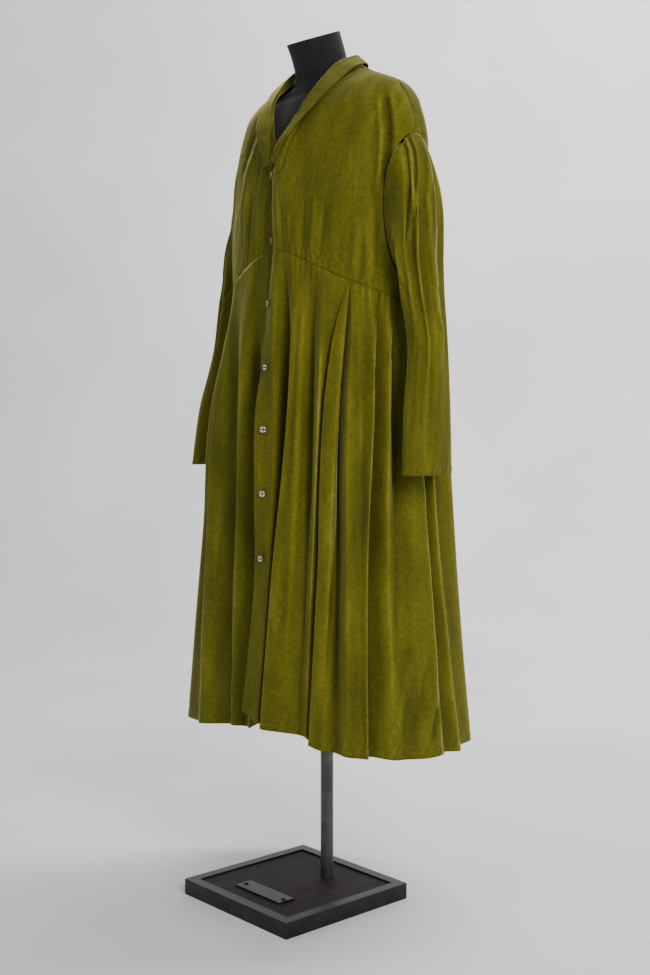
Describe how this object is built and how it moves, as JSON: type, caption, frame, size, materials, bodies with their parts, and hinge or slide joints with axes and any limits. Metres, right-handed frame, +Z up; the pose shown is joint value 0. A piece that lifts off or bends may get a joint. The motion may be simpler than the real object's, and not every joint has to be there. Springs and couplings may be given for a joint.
{
  "type": "velvet coat on dress form",
  "caption": "Loose velvet coat with a rolled collar, V neck, long dropped sleeves and a pleated, gathered skirt, buttoned in front, on a limbless dress form with pole and square base.",
  "frame": {"origin": "on the pole's axis at floor level, on the base's underside", "axes": "+Z up; the coat's front faces -Y; +X is the wearer's left"},
  "size_m": [0.644, 0.4511, 1.6298],
  "materials": {
    "velvet": "olive green cotton velvet with a soft sheen at grazing angles",
    "button": "pale pearly, polished, with a dark rim",
    "jersey": "near-black stretched jersey, matt",
    "steel": "blackened steel, satin",
    "board": "dark stained pine, satin"
  },
  "bodies": {
    "root": {"bodice_back": "velvet", "bodice_front_left": "velvet", "bodice_front_right": "velvet", "skirt_back": "velvet", "skirt_front_left": "velvet", "skirt_front_right": "velvet", "sleeve_left": "velvet", "sleeve_right": "velvet", "band_left": "velvet", "band_right": "velvet", "collar": "velvet", "button_1": "button", "button_2": "button", "button_3": "button", "button_4": "button", "button_5": "button", "button_6": "button", "button_7": "button", "dress_form": "jersey", "base_frame": "steel", "pole": "steel", "base_plate": "steel", "plate_screw_1": "steel", "plate_screw_2": "steel", "base_board": "board"}
  },
  "joints": []
}
